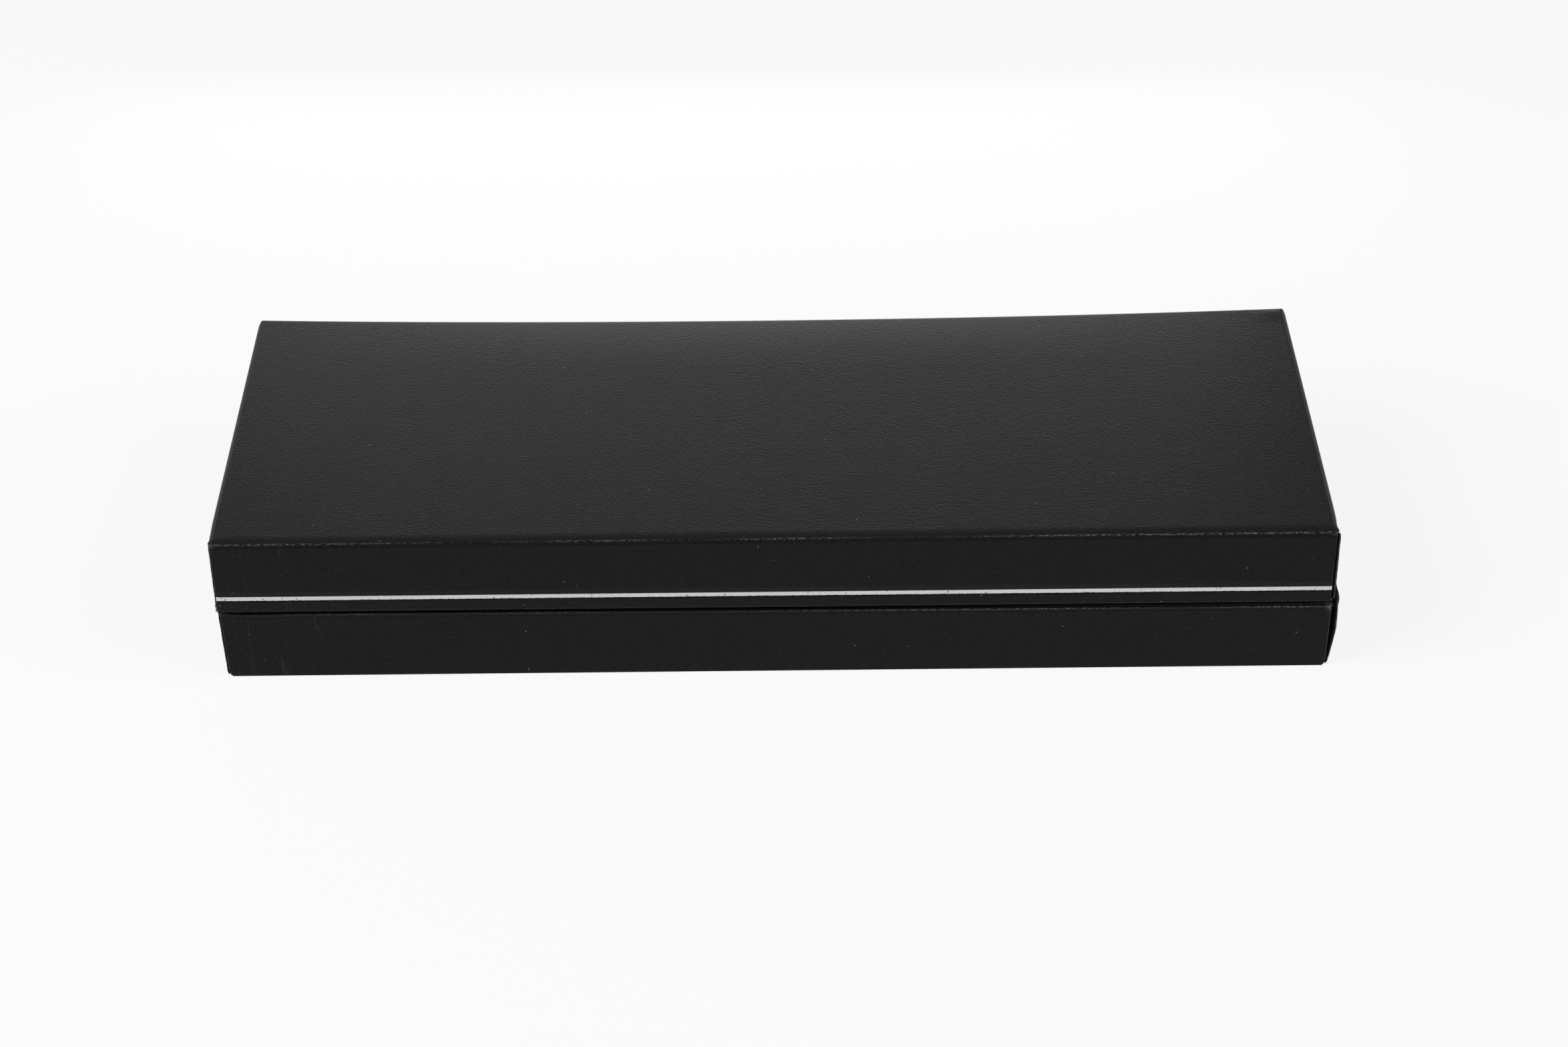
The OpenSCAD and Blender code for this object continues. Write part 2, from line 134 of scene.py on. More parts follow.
def grid_object(name, sheets, attributes=None, away_from=(0, 0, 13)):
    """One object from sheets of points in millimetres.

    Its quads face away from a point, and the sheets are welded where they meet.
    """
    weld = 0.004
    points, faces, start = [], [], 0
    for rows in sheets:
        rows = np.asarray(rows, float)
        n, k = rows.shape[:2]
        ids = start + np.arange(n * k).reshape(n, k)
        quads = np.stack([ids[:-1, :-1], ids[1:, :-1], ids[1:, 1:], ids[:-1, 1:]], -1).reshape(-1, 4)
        flat = rows.reshape(-1, 3)
        corners = flat[quads - start]
        normals = np.cross(corners[:, 2] - corners[:, 0], corners[:, 3] - corners[:, 1])
        outward = corners.mean(1) - np.array(away_from, float)
        if (normals * outward).sum() < 0:
            quads = quads[:, ::-1]
        points.append(flat)
        faces.append(quads)
        start += n * k
    mesh = bpy.data.meshes.new(name)
    mesh.from_pydata((np.concatenate(points) * mm).tolist(), [], np.concatenate(faces).tolist())
    for label, values in (attributes or {}).items():
        layer = mesh.attributes.new(label, "FLOAT", "POINT")
        layer.data.foreach_set("value", np.concatenate([np.ravel(v) for v in values]).astype(np.float32))
    welded = bmesh.new()
    welded.from_mesh(mesh)
    bmesh.ops.remove_doubles(welded, verts=welded.verts, dist=weld * mm)
    welded.to_mesh(mesh)
    welded.free()
    mesh.polygons.foreach_set("use_smooth", np.ones(len(mesh.polygons), bool))
    piece = bpy.data.objects.new(name, mesh)
    bpy.context.scene.collection.objects.link(piece)
    return piece


# Blued spring steel: tempered to a dark straw and blue-grey, streaked along the strip.
blued = started("blued spring steel")
place = add(blued, "TexCoord").outputs["Object"]
streaked = add(blued, "Mapping", {"Vector": place, "Scale": (1 / (0.25 * mm), 1 / (3 * mm), 1 / (3 * mm))})
streaks = add(blued, "TexNoise", {"Vector": streaked.outputs[0], "Scale": 1.0, "Detail": 3.0}).outputs[0]
tint = add(blued, "Mix", {"Factor": streaks, 6: linear("#7d8290"), 7: linear("#a39c92")}, data_type="RGBA")
dull = add(blued, "MapRange", {"Value": streaks, "To Min": 0.22, "To Max": 0.4})
skin = add(blued, "BsdfPrincipled", {"Base Color": tint.outputs[2], "Roughness": dull.outputs[0], "Metallic": 1.0})
add(blued, "OutputMaterial", {"Surface": skin.outputs[0]})

for side, node in ((-1, "bow_spring_left"), (1, "bow_spring_right")):
    swing = math.asin(spring_reach / spring_r)
    path = [(foot_y, z) for z in np.linspace(-foot_end, -spring_reach, 8, endpoint=False)]
    path += [(bow_y - spring_r * math.cos(a), spring_r * math.sin(a)) for a in np.linspace(-swing, swing, 33)]
    path += [(foot_y, -z) for z in np.linspace(-foot_end, -spring_reach, 8, endpoint=False)][::-1]
    path = np.array(path)
    along = np.gradient(path, axis=0)
    along /= np.linalg.norm(along, axis=1)[:, None]
    across = np.stack([-along[:, 1], along[:, 0]], 1)
    half_w, half_t, soft = spring_w / 2, spring_t / 2, 0.12
    ring = [(s * (half_w - soft) + soft * math.cos(a), t * (half_t - soft) + soft * math.sin(a))
            for s, t, first in ((1, 1, 0), (-1, 1, 90), (-1, -1, 180), (1, -1, 270))
            for a in np.radians(np.linspace(first, first + 90, 4))]
    ring.append(ring[0])
    rows = [[(side * spring_x + u, hinge_y + p[0] + v * n[0], hinge_z + p[1] + v * n[1]) for u, v in ring]
            for p, n in zip(path, across)]
    caps = [[tuple(np.mean(rows[i][:-1], axis=0))] * len(ring) for i in (0, -1)]
    spring = grid_object(node + "_strip", [[caps[0], *rows, caps[1]]])
    spring.data.materials.append(blued)
    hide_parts(node)
    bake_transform(spring)


# Base covering: one sheet of black leatherette on paper, glued round the tray's walls.
# It is turned in over the rim and turned under the floor, and folded round the four upright edges.
wrap_x, end_x, shell_y, lean = 88.55, 88.98, 34.0, 0.24
base_bottom, base_rim, turned_in, turned_under = 0.25, 12.65, 4.0, 8.0
inner_y, inner_x, slot_y, slot_half = 31.3, 85.85, 31.7, 2.04
base_half_x, front_foot = 88.61, base_bottom - 0.2
sheet_t, flap, no_limit = 0.2, 0.7, 99


def line(p, q, count):
    """Points from p towards q, without q."""
    return [tuple(np.add(p, np.subtract(q, p) * i / count)) for i in range(count)]


def arc(centre, r, first, last, count):
    """Points on a circle from one angle towards another, without the last."""
    angles = np.radians(first + (last - first) * np.arange(count) / count)
    return [(centre[0] + r * math.cos(a), centre[1] + r * math.sin(a)) for a in angles]


def near(values, at, reach):
    """1 at a place, falling to 0 over the reach."""
    return np.exp(-((np.asarray(values) - at) / reach) ** 2)


def leatherette(name, crease_depth, dark, light, roughness, specular):
    """Leatherette with a soft wrinkled grain, and with wear and scuffs where the attributes of those names say so."""
    material = started(name)
    place = add(material, "TexCoord").outputs["Object"]
    # Its wrinkles are soft, about 0.9 mm long and 0.5 mm apart: the noise repeats in about 1.7 of its units.
    drawn_out = add(material, "Mapping", {
        "Vector": place, "Scale": (1 / (0.52 * mm), 1 / (0.3 * mm), 1 / (0.3 * mm))})
    waves = add(material, "TexNoise", {
        "Vector": drawn_out.outputs[0], "Scale": 1.0, "Detail": 1.0, "Roughness": 0.4, "Distortion": 0.5}).outputs[0]
    crest = add(material, "MapRange", {"Value": waves, "From Min": 0.25, "From Max": 0.75}).outputs[0]
    pebble = add(material, "TexNoise", {"Vector": place, "Scale": 1 / (0.32 * mm), "Detail": 2.0}).outputs[0]
    patches = add(material, "TexNoise", {"Vector": place, "Scale": 1 / (14 * mm), "Detail": 2.0}).outputs[0]
    worked = add(material, "MapRange", {
        "Value": patches, "From Min": 0.3, "From Max": 0.6, "To Min": 0.85}).outputs[0]
    relief = add(material, "Math", {0: crest, 1: worked}, operation="MULTIPLY").outputs[0]
    height = add(material, "Math", {0: pebble, 1: 0.2, 2: relief}, operation="MULTIPLY_ADD").outputs[0]
    grain = add(material, "Bump", {"Height": height, "Strength": 1.0, "Distance": crease_depth * mm})
    sheet = add(material, "Mix", {"Factor": relief, 6: linear(dark), 7: linear(light)}, data_type="RGBA").outputs[2]
    # Rubbed folds show the pale paper in short dashes, half a millimetre long.
    dashes = add(material, "Mapping", {"Vector": place, "Scale": (1 / (0.5 * mm), 1 / (0.25 * mm), 1 / (0.25 * mm))})
    chips = add(material, "TexNoise", {"Vector": dashes.outputs[0], "Scale": 1.0, "Detail": 3.0}).outputs[0]
    rubbed = add(material, "Attribute", attribute_name="wear").outputs["Fac"]
    chipped = add(material, "MapRange", {"Value": chips, "From Min": 0.43, "From Max": 0.66}).outputs[0]
    bare = add(material, "Math", {0: chipped, 1: rubbed}, operation="MULTIPLY", use_clamp=True).outputs[0]
    worn = add(material, "Mix", {"Factor": bare, 6: sheet, 7: linear("#787674")}, data_type="RGBA").outputs[2]
    # Hairline scuffs run up the front where the attribute 'scuff' says so, 3 mm apart and a tenth wide.
    swept = add(material, "Mapping", {"Vector": place, "Scale": (1 / (3 * mm), 1 / (3 * mm), 1 / (45 * mm))})
    sway = add(material, "TexNoise", {"Vector": swept.outputs[0], "Scale": 1.0, "Detail": 1.0}).outputs[0]
    aside = add(material, "Math", {0: sway, 1: 0.5}, operation="SUBTRACT").outputs[0]
    apart = add(material, "Math", {0: aside}, operation="ABSOLUTE").outputs[0]
    hair = add(material, "MapRange", {"Value": apart, "From Max": 0.008, "To Min": 0.09, "To Max": 0.0}).outputs[0]
    swiped = add(material, "Attribute", attribute_name="scuff").outputs["Fac"]
    scuff = add(material, "Math", {0: hair, 1: swiped}, operation="MULTIPLY", use_clamp=True).outputs[0]
    scuffed = add(material, "Mix", {"Factor": scuff, 6: worn, 7: linear("#6b6a68")}, data_type="RGBA").outputs[2]
    # Dust lies on it, about a speck to the square centimetre, and finer dust on the scuffed end.
    finer = add(material, "TexVoronoi", {"Vector": place, "Scale": 1 / (0.8 * mm)})
    draw = add(material, "SeparateColor", {"Color": finer.outputs["Color"]}).outputs[0]
    tiny = add(material, "MapRange", {"Value": draw, "From Min": 0.55, "To Max": 0.1}).outputs[0]
    fallen = add(material, "Math", {0: tiny, 1: swiped}, operation="MULTIPLY").outputs[0]
    mote = add(material, "Math", {0: finer.outputs["Distance"], 1: fallen}, operation="LESS_THAN").outputs[0]
    powdered = add(material, "Mix", {"Factor": mote, 6: scuffed, 7: linear("#5e5d5b")}, data_type="RGBA").outputs[2]
    cells = add(material, "TexVoronoi", {"Vector": place, "Scale": 1 / (2.2 * mm)})
    lot = add(material, "SeparateColor", {"Color": cells.outputs["Color"]}).outputs[0]
    size = add(material, "MapRange", {"Value": lot, "From Min": 0.5, "To Max": 0.055}).outputs[0]
    speck = add(material, "Math", {0: cells.outputs["Distance"], 1: size}, operation="LESS_THAN").outputs[0]
    dusty = add(material, "Mix", {"Factor": speck, 6: powdered, 7: linear("#797875")}, data_type="RGBA").outputs[2]
    dull = add(material, "MapRange", {"Value": pebble, "To Min": roughness - 0.05, "To Max": roughness + 0.07})
    skin = add(material, "BsdfPrincipled", {
        "Base Color": dusty, "Roughness": dull.outputs[0], "Normal": grain.outputs[0],
        "IOR": 1.5, "Specular IOR Level": specular})
    add(material, "OutputMaterial", {"Surface": skin.outputs[0]})
    return material


# Embossed leatherette: the soft top sheet takes a fine wrinkled grain that catches the light.
embossed = leatherette("embossed leatherette", 0.034, "#0d0d0d", "#121212", 0.46, 0.48)
# Ironed leatherette: pressed flat on the front panels, so its grain is faint; it is darker and less glossy than the
# top's copy of the same sheet, as painted shade on the front faces.
ironed_shaded = leatherette("ironed leatherette", 0.01, "#080808", "#151515", 0.5, 0.12)

# Cut edge: torn grey paper fibres of the backing in spots; the rest is black, partly the black coating and partly
# painted shade for the shadow the cut edges lie in.
cut_edge = started("paper backing, cut edge")
place = add(cut_edge, "TexCoord").outputs["Object"]
fibre = add(cut_edge, "TexNoise", {"Vector": place, "Scale": 1 / (0.35 * mm), "Detail": 4.0}).outputs[0]
torn = add(cut_edge, "MapRange", {"Value": fibre, "From Min": 0.48, "From Max": 0.75}).outputs[0]
tint = add(cut_edge, "Mix", {"Factor": torn, 6: linear("#111112"), 7: linear("#7c7b79")}, data_type="RGBA")
fuzz = add(cut_edge, "Bump", {"Height": fibre, "Strength": 0.8, "Distance": 0.05 * mm})
skin = add(cut_edge, "BsdfPrincipled", {"Base Color": tint.outputs[2], "Roughness": 0.9, "Normal": fuzz.outputs[0]})
add(cut_edge, "OutputMaterial", {"Surface": skin.outputs[0]})


def thicken(piece, thickness):
    """Gives a sheet its thickness, inwards."""
    thick = piece.modifiers.new("sheet thickness", "SOLIDIFY")
    thick.thickness = thickness * mm
    thick.offset = -1
    return thick


def glued(piece, thickness, body, slot, *stood_for):
    """Gives a sheet of leatherette its thickness, its cut edges, and its place on a body."""
    thick = thicken(piece, thickness)
    thick.material_offset = 2
    thick.material_offset_rim = 2
    for material in (embossed, ironed_shaded, cut_edge):
        piece.data.materials.append(material)
    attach(piece, body)
    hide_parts(*stood_for)


def shade_front_panel(piece):
    """Gives the front panel's faces the darker, duller copy of the leatherette, as painted shade, but not the folds
    at its ends.
    """
    for face in piece.data.polygons:
        x, y, z = (c / mm for c in face.center)
        fold = abs(x) > wrap_x - 0.9 and y > -shell_y + 0.06 and z > 1
        if y < -shell_y + 0.45 and not fold:
            face.material_index = 1


def down_base(z):
    """0 at the base's rim, 1 at its bottom."""
    return np.clip((base_rim - np.asarray(z)) / (base_rim - base_bottom), 0, 1)


def base_shift(z):
    """The covering sits a little to the right under the lid, more so at the bottom."""
    return 0.26 + 0.135 * down_base(z)


def bottom_corner(z):
    """How far the panels' lower corners are rounded off."""
    low = np.clip(1 - (np.asarray(z) - base_bottom), 0, 1)
    return (1 - np.sqrt(1 - low ** 2)) * 0.45


def in_places(x):
    """Shares between a fifth and 1 that come and go along the length, for wear that isn't even."""
    return 0.6 + 0.4 * np.sin(x / 8 + 2.1 * np.sin(x / 23 + 0.6))


def base_rim_at(x):
    """The front rim sinks to the right, so the gap under the lid opens there, and closes at the left corner."""
    return base_rim - 0.33 - 0.0022 * x - 0.12 * near(x, -82.5, 3.5) + 0.22 * min(max((-86.8 - x) / 1.2, 0), 1)


def stations():
    """Places along the length with (share of the end's turn, flap beyond it): flat run, turn, then end face."""
    flat = np.concatenate([np.linspace(-1, -0.97, 18), np.linspace(-0.965, 0.965, 120), np.linspace(0.97, 1, 18)])
    turn = np.linspace(0, 1, 8)[1:]
    flaps = (0.08, 0.16, 1.0)
    left = [(-1, 1, f) for f in flaps[::-1]] + [(-1, t, 0) for t in turn[::-1]]
    right = [(1, t, 0) for t in turn] + [(1, 1, f) for f in flaps]
    return left + [(x, 0, 0) for x in flat] + right


def upright(profile_at, half_at, end_r, front, back, top_at, bottom):
    """A strip drawn along the length whose ends turn over the upright edges on to the end faces."""
    rows = []
    for share, turn, beyond in stations():
        profile = np.array(profile_at(share * wrap_x))
        half = half_at(profile[:, 0], profile[:, 1])
        angle = turn * math.pi / 2
        inset = end_r * (1 - math.cos(angle)) + beyond * flap
        tucked = np.clip(beyond * 12 - 1, 0, 1) * np.maximum(half - wrap_x, 0)
        x = share * (half - end_r)
        if turn:
            x = np.sign(share) * (half - end_r + end_r * math.sin(angle) - tucked)
        y = np.clip(profile[:, 0], front + inset, back - inset)
        z = np.clip(profile[:, 1], bottom + inset, top_at(x, profile[:, 0]) - inset)
        rows.append(np.stack([np.broadcast_to(x, y.shape), y, z], 1))
    return np.array(rows)


def base_front_profile(x):
    """The front, from the turned-in edge over the rim, down the panel and under the floor."""
    rim = base_rim_at(x)
    front, edge, fold, sunk = -shell_y, 0.3, 0.3, base_rim - 0.4
    return (line((-inner_y, base_rim - turned_in), (-inner_y, sunk - fold), 5)
            + arc((-inner_y - fold, sunk - fold), fold, 0, 90, 5)
            + line((-inner_y - fold, sunk), (front + 0.6, sunk), 6)
            + line((front + 0.6, sunk), (front + 0.4, rim - 0.08), 3)
            + line((front + 0.4, rim - 0.08), (front + 0.14, rim), 3)
            + arc((front + 0.14, rim - 0.14), 0.14, 90, 180, 6)
            + line((front, rim - 0.14), (front, rim - 0.42), 3)
            + [(front, rim - 0.42), (front + 0.06, rim - 0.5), (front + 0.07, rim - 0.58), (front + 0.02, rim - 0.68)]
            + line((front, rim - 0.8), (front, rim - 1.5), 4)
            + line((front, rim - 1.5), (front, front_foot + edge), 12)
            + arc((front + edge, front_foot + edge), edge, 180, 270, 8)
            + line((front + edge, front_foot), (front + 2, base_bottom), 4)
            + line((front + 2, base_bottom), (front + turned_under, base_bottom), 4)
            + [(front + turned_under, base_bottom)])


def base_back_profile(x):
    """The back, from the slot's lip down the wall and under the floor."""
    back, edge, fold = shell_y, 0.8, 0.3
    lip = hinge_z - 1.5
    return (line((slot_y + 0.05, lip), (back - fold, lip), 5)
            + arc((back - fold, lip - fold), fold, 90, 0, 6)
            + line((back, lip - fold), (back, base_bottom + edge), 12)
            + arc((back - edge, base_bottom + edge), edge, 0, -90, 8)
            + line((back - edge, base_bottom), (back - turned_under, base_bottom), 6)
            + [(back - turned_under, base_bottom)])


def base_end(z):
    """Half the length of the base's panels: they lean in to the bottom, where the corners are rounded."""
    return base_half_x - lean * down_base(z) - bottom_corner(z)


def base_half(y, z):
    """The same, with the turned-in edge kept between the end walls."""
    return np.where((np.abs(y) < slot_y) & (z > 2), inner_x, base_end(z))


def base_end_profile():
    """One end, from the turned-in edge over the rim, down the wall and under the floor."""
    fold, edge, rim = 0.3, 0.5, base_rim - 0.35
    top, foot = wrap_x - 0.04, wrap_x - 0.04 - lean
    return (line((inner_x, rim - turned_in), (inner_x, rim - fold), 5)
            + arc((inner_x + fold, rim - fold), fold, 180, 90, 5)
            + line((inner_x + fold, rim), (top - fold, rim), 6)
            + arc((top - fold, rim - fold), fold, 90, 0, 6)
            + line((top, rim - fold), (foot, base_bottom + edge), 14)
            + arc((foot - edge, base_bottom + edge), edge, 0, -90, 6)
            + line((foot - edge, base_bottom + 0.03), (foot - turned_under, base_bottom + 0.03), 4)
            + [(foot - turned_under, base_bottom + 0.03)])


def end_flap(profile, side, front, back, lip):
    """A strip drawn along the depth over one end wall; points above or below the lip stop short at the back slot."""
    rows = []
    for share in np.linspace(0, 1, 46):
        row = []
        for x, z in profile:
            inside = x < wrap_x - 1.2
            stop = slot_y - 0.1 if (inside or lip(z)) else back
            start = -inner_y if inside and 2 < z < 24 else front
            row.append((side * x, start + (stop - start) * share, z))
        rows.append(row)
    return np.array(rows)


front_strip = upright(base_front_profile, base_half, end_r=0.45, front=-shell_y, back=no_limit,
                      top_at=lambda x, y: no_limit, bottom=front_foot)
back_strip = upright(base_back_profile, base_half, end_r=0.4, front=-no_limit, back=shell_y,
                     top_at=lambda x, y: no_limit, bottom=base_bottom)
ends = [end_flap(base_end_profile(), s, -shell_y + 0.35, shell_y - 0.35, lambda z: z > hinge_z - slot_half - 0.1)
        for s in (-1, 1)]
for strip in (front_strip, back_strip, *ends):
    strip[..., 0] += base_shift(strip[..., 2])
on_panel = 40
rims = np.array([base_rim_at(x) for x in front_strip[:, on_panel, 0]])[:, None]
x, y, z = (front_strip[..., i] for i in range(3))
frayed = near(x, 88.6, 0.6) * near(z, rims - 0.3, 0.5) * 1.5
rim_rub = near(z, rims - 0.17, 0.1) * (y < -shell_y + 0.2) * in_places(x + 40)
rim_rub *= 0.4 + 0.6 * np.clip(x / 50, 0, 1)
rub = [np.maximum(rim_rub, frayed),
       near(back_strip[..., 2], hinge_z - slot_half, 0.2) * 0.5, *[0 * e[..., 0] for e in ends]]
scuffs = [near(s[..., 0], -84, 14) * (s[..., 1] < -shell_y + 0.1) for s in (front_strip, back_strip, *ends)]
base_covering = grid_object("base_covering", [front_strip, back_strip, *ends], {"wear": rub, "scuff": scuffs})
# The front panel takes the darker copy of the leatherette: painted shade.
shade_front_panel(base_covering)
glued(base_covering, sheet_t, "base", "leatherette", "base_wrap")


# End covers: a cut piece of leatherette glued on each end over the folds, its cut edges left bare.
# They stand a little off at the front edge, and the base's right one has come loose there and curled up.
def end_cover(name, side, low, high, half_at, shift_at, notch, stand_off, frayed=0):
    """A cut sheet on one end, as a grid of depth and height; stand_off is how far it lies beyond the panels."""
    corner, front, back = 0.8, -shell_y + 0.1, shell_y - 1.1
    levels = np.concatenate([1 - np.cos(np.linspace(0, math.pi / 2, 6)), np.linspace(1, 5, 9)[1:]]) * corner
    levels = np.sort(np.append(levels, (1.885, 1.895)))   # a row on each side of the notch
    shares = np.concatenate([np.linspace(0, 0.12, 30), np.linspace(0.12, 0.95, 40)[1:], np.linspace(0.95, 1, 8)[1:]])
    rows = []
    for part in np.concatenate([levels, np.linspace(5 * corner, 100 - 5 * corner, 14)[1:-1], 100 - levels[::-1]]):
        row = []
        for share in shares:
            y = front + (back - front) * share
            top = high(y)
            z = low + part if part < 50 else top - (100 - part)
            if 5 * corner < part < 100 - 5 * corner:
                z = low + 5 * corner + (top - low - 10 * corner) * (part - 5 * corner) / (100 - 10 * corner)
            gap = max(corner - min(z - low, top - z), 0)
            trim = corner - math.sqrt(corner ** 2 - gap ** 2)
            stop = back - trim if (z - notch) * (1 if low > 12 else -1) > 0 else slot_y
            y = front + trim * 0.6 + (stop - front - trim * 0.6) * share
            flutter = 0.02 * math.sin(z * 4.1) * math.sin(z * 2.3 + 1) * near(y, front, 1)
            ripple = 0.01 * math.sin(y * 0.9 + z) + flutter
            row.append((side * (half_at(z) + stand_off(y, z) + ripple) + shift_at(z), y, z))
        rows.append(row)
    rows = np.array(rows)
    cut = near(rows[..., 1], front, 0.5) * 0.5
    curl = near(rows[..., 2], 13.6, 1.4) * near(rows[..., 1], front, 1.2) * frayed
    return grid_object(name, [rows], {"wear": [cut + curl]})


def along_front(y, reach):
    """1 at the front edge, falling to 0 behind it."""
    return np.exp(-((y + shell_y) / reach) ** 2)


def base_left(y, z):
    """Stuck down, and pressed closer along the front edge."""
    return 0.4 - along_front(y, 2.0) * 0.27


def base_right(y, z):
    """Loose along the front edge: it bellies out under the rim and is still stuck down at the bottom."""
    belly = np.interp(z, (0.3, 1.4, 2.5, 3.7, 4.9, 7.3, 9.6, 12, 13.4, 14.4, 15.4, 16.2),
                      (0.12, 0.25, 0.46, 0.58, 0.76, 1.0, 1.02, 0.88, 1.0, 0.8, 0.5, 0.28))
    behind = np.interp(z, (12.5, 13.5), (0.43, 0.12))
    return behind + along_front(y, np.interp(z, (12.5, 13.5), (3.4, 1.6))) * (belly - behind)


def plain_top(y):
    """The cut edge, level and a little under the rim."""
    return base_rim - 0.3


def curled_top(y):
    """The loose corner has curled up past the rim, outside the lid."""
    return plain_top(y) + 4.2 * along_front(y, 1.7)


for side, name, top, stand_off, frayed in ((-1, "base_end_cover_left", plain_top, base_left, 0),
                                           (1, "base_end_cover_right", curled_top, base_right, 0.9)):
    cover = end_cover(name + "_sheet", side, base_bottom + 0.05, top, base_end, base_shift,
                      hinge_z - slot_half - 0.3, stand_off, frayed)
    glued(cover, 0.1, "base", "leatherette", name)


# Bottom sheet: black lining paper, cut smaller than the base and glued over the turned-under edges.
# Lining paper: uncoated, dyed black, with felt marks and a soft fibre tooth of about 0.5 mm.
lining_paper = started("black lining paper")
place = add(lining_paper, "TexCoord").outputs["Object"]
tooth = add(lining_paper, "TexNoise", {"Vector": place, "Scale": 1 / (0.5 * mm), "Detail": 4.0}).outputs[0]
cloudy = add(lining_paper, "TexNoise", {"Vector": place, "Scale": 1 / (6 * mm), "Detail": 2.0}).outputs[0]
tint = add(lining_paper, "Mix", {"Factor": cloudy, 6: linear("#1c1c1d"), 7: linear("#2a2a2b")}, data_type="RGBA")
felt = add(lining_paper, "Bump", {"Height": tooth, "Strength": 0.6, "Distance": 0.03 * mm})
skin = add(lining_paper, "BsdfPrincipled", {
    "Base Color": tint.outputs[2], "Roughness": 0.85, "Normal": felt.outputs[0]})
add(lining_paper, "OutputMaterial", {"Surface": skin.outputs[0]})
dress(lining_paper, "base_bottom_sheet")


# Collar: three strips of 1.2 mm card covered in the same black paper, standing on the tray's floor.
# The lid's turned-in edge slips over them and they keep it in line.
dress(lining_paper, "collar_front", "collar_left", "collar_right")
for name in ("collar_front", "collar_left", "collar_right"):
    rounded = nodes[name].modifiers.new("folded paper edge", "BEVEL")
    rounded.width = 0.25 * mm
    rounded.segments = 3


# Pen bed: thin polystyrene sheet vacuum-formed with two grooves and a finger scoop, then flocked.
# It is glued in, and its skirt stands on the tray's floor inside the collar.
bed_x, bed_front, bed_back, bed_top, bed_floor = 84.05, -29.5, 27.675, 12.0, 2.5
bed_mid = (bed_front + bed_back) / 2
groove_r, groove_l, groove_pitch = 6.8, 150.0, 25.0
scoop_r, scoop_lift = 10.5, 3.2
bed_lip = 0.8


def rod_depth(u, v, r, length, lift):
    """How deep a rod with round ends, lying along u, presses into the face."""
    past = np.maximum(np.abs(u) - (length / 2 - r), 0)
    return np.sqrt(np.maximum(r ** 2 - v ** 2 - past ** 2, 0)) - lift


def bed_depth(x, y):
    """How deep the grooves and the scoop go at a place on the bed."""
    deep = np.zeros(np.broadcast(x, y).shape)
    for s in (-1, 1):
        deep = np.maximum(deep, rod_depth(x, y - bed_mid - s * groove_pitch / 2, groove_r, groove_l, 0))
    return np.maximum(deep, rod_depth(y - bed_mid, x, scoop_r, groove_pitch + scoop_r, scoop_lift))


def soft_depth(x, y, blur=0.45):
    """The pressed form with its lips and seams rounded, as a warm sheet takes them."""
    deep, total = 0, 0
    for i in (-2, -1, 0, 1, 2):
        for j in (-2, -1, 0, 1, 2):
            weight = math.exp(-(i * i + j * j) / 4)
            deep = deep + weight * bed_depth(x + i * blur / 1.5, y + j * blur / 1.5)
            total += weight
    return deep / total


def by_length(low, high, depth_of, step):
    """Places from low to high that follow the form's own length, so that steep walls get enough of them."""
    fine = np.linspace(low, high, 2400)
    run = np.concatenate([[0], np.cumsum(np.hypot(np.diff(fine), np.diff(depth_of(fine))))])
    return np.interp(np.linspace(0, run[-1], int(run[-1] / step)), run, fine)


bed_ys = by_length(bed_front + bed_lip, bed_back - bed_lip, lambda y: soft_depth(30.0, y) + soft_depth(0.0, y), 0.55)
bed_xs = by_length(-bed_x + bed_lip, bed_x - bed_lip, lambda x: soft_depth(x, bed_mid + groove_pitch / 2)
                   + soft_depth(x, bed_mid), 0.8)
face = np.stack(np.meshgrid(bed_xs, bed_ys, indexing="ij") + [np.zeros((len(bed_xs), len(bed_ys)))], -1)
face[..., 2] = bed_top - soft_depth(face[..., 0], face[..., 1])
rim_line = np.concatenate([face[:, 0], face[-1, 1:], face[::-1, -1][1:], face[0, ::-1][1:]])
skirt = []
for drop in np.concatenate([np.linspace(0, 90, 6), [91]]):
    out = bed_lip * math.sin(math.radians(min(drop, 90)))
    down = bed_lip * (1 - math.cos(math.radians(drop))) if drop <= 90 else bed_top - bed_floor
    ring = rim_line.copy()
    centre = np.array([0, bed_mid])
    half = np.array([bed_x, (bed_back - bed_front) / 2]) - bed_lip
    reach = (ring[:, :2] - centre) / half
    push = np.where(np.abs(reach) > 0.9999, np.sign(reach), 0)
    push /= np.maximum(np.linalg.norm(push, axis=1), 1)[:, None]
    ring[:, :2] += push * out
    ring[:, 2] = bed_top - down
    skirt.append(ring)
flocked_bed = grid_object("pen_bed_flocked", [face, skirt], away_from=(0, bed_mid, -60))
thicken(flocked_bed, 0.5)

# Nylon flock on black glue: fibres half a millimetre long stand up, and give a deep black with a soft bloom.
flock = started("black nylon flock")
place = add(flock, "TexCoord").outputs["Object"]
nap = add(flock, "TexNoise", {"Vector": place, "Scale": 1 / (0.28 * mm), "Detail": 3.0}).outputs[0]
brushed = add(flock, "TexNoise", {"Vector": place, "Scale": 1 / (11 * mm), "Detail": 3.0}).outputs[0]
tuft = add(flock, "Math", {0: nap, 1: brushed}, operation="MULTIPLY").outputs[0]
lain = add(flock, "MapRange", {"Value": tuft, "From Min": 0.15, "From Max": 0.4}).outputs[0]
tint = add(flock, "Mix", {"Factor": lain, 6: linear("#0e0e10"), 7: linear("#1d1d20")}, data_type="RGBA")
pile = add(flock, "Bump", {"Height": nap, "Strength": 1.0, "Distance": 0.12 * mm})
skin = add(flock, "BsdfPrincipled", {
    "Base Color": tint.outputs[2], "Roughness": 0.95, "Normal": pile.outputs[0], "Specular IOR Level": 0.2,
    "Sheen Weight": 0.25, "Sheen Roughness": 0.4, "Sheen Tint": linear("#8a8a92")})
